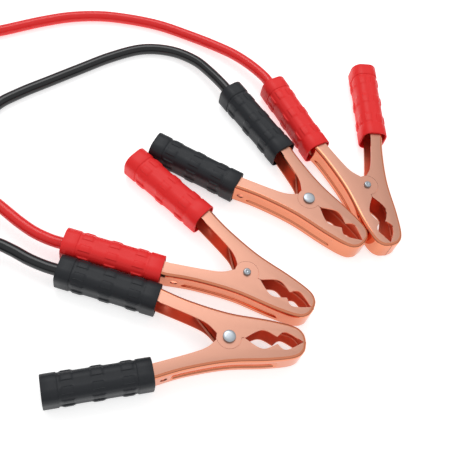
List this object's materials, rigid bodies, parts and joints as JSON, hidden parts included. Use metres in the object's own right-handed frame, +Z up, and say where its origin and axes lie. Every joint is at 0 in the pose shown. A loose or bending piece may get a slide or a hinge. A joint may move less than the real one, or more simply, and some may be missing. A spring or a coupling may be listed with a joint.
{
  "type": "jumper cable set",
  "caption": "Battery jumper cables: a red and a black lead, each a round cable with a sprung copper-plated clamp on both ends.",
  "frame": {"origin": "bottom centre of the box round the four clamps, on the floor they lie on", "axes": "+Z up; +X towards the clamps' noses, away from the side where the cables leave"},
  "size_m": [0.4314, 0.3773, 0.0208],
  "materials": {
    "copper_plate": "copper-plated pressed steel, satin on the flat plates and glossy on the spine",
    "zinc": "bright zinc-plated steel",
    "spring_steel": "drawn spring wire",
    "conductor_copper": "bare stranded copper",
    "red_plastic": "soft moulded PVC, satin",
    "black_plastic": "soft moulded PVC, satin",
    "red_cable_plastic": "smooth glossy PVC jacket",
    "black_cable_plastic": "smooth glossy PVC jacket"
  },
  "bodies": {
    "set": {"black_1_cable_jaw": "copper_plate", "black_1_rivet": "zinc", "black_1_spring": "spring_steel", "black_1_cable_grip": "black_plastic", "black_1_conductor": "conductor_copper", "red_1_cable_jaw": "copper_plate", "red_1_rivet": "zinc", "red_1_spring": "spring_steel", "red_1_cable_grip": "red_plastic", "red_1_conductor": "conductor_copper", "black_2_cable_jaw": "copper_plate", "black_2_rivet": "zinc", "black_2_spring": "spring_steel", "black_2_cable_grip": "black_plastic", "black_2_conductor": "conductor_copper", "red_2_cable_jaw": "copper_plate", "red_2_rivet": "zinc", "red_2_spring": "spring_steel", "red_2_cable_grip": "red_plastic", "red_2_conductor": "conductor_copper", "red_cable_coil": "red_cable_plastic", "red_2_cable": "red_cable_plastic", "red_1_cable": "red_cable_plastic", "black_cable_coil": "black_cable_plastic", "black_2_cable": "black_cable_plastic", "black_1_cable": "black_cable_plastic"},
    "black_1_free_half": {"black_1_free_jaw": "copper_plate", "black_1_free_grip": "black_plastic"},
    "red_1_free_half": {"red_1_free_jaw": "copper_plate", "red_1_free_grip": "red_plastic"},
    "black_2_free_half": {"black_2_free_jaw": "copper_plate", "black_2_free_grip": "black_plastic"},
    "red_2_free_half": {"red_2_free_jaw": "copper_plate", "red_2_free_grip": "red_plastic"}
  },
  "joints": [
    {"name": "black_1_pivot", "type": "hinge", "parent": "set", "child": "black_1_free_half", "pos_m": [0.011, -0.0894, 0.0104], "axis": [0, 0, -1], "range_deg": [0, 28], "stiffness_Nm_per_rad": 1.5, "springref_deg": -34.38, "deforming": ["black_1_spring"]},
    {"name": "red_1_pivot", "type": "hinge", "parent": "set", "child": "red_1_free_half", "pos_m": [0.0109, -0.0436, 0.0104], "axis": [0, 0, 1], "range_deg": [0, 28], "stiffness_Nm_per_rad": 1.5, "springref_deg": -34.38, "deforming": ["red_1_spring"]},
    {"name": "black_2_pivot", "type": "hinge", "parent": "set", "child": "black_2_free_half", "pos_m": [0.0382, 0.0247, 0.0104], "axis": [0, 0, -1], "range_deg": [0, 28], "stiffness_Nm_per_rad": 1.5, "springref_deg": -34.38, "deforming": ["black_2_spring"]},
    {"name": "red_2_pivot", "type": "hinge", "parent": "set", "child": "red_2_free_half", "pos_m": [0.0758, 0.0501, 0.0104], "axis": [0, 0, 1], "range_deg": [0, 28], "stiffness_Nm_per_rad": 1.5, "springref_deg": -34.38, "deforming": ["red_2_spring"]}
  ]
}
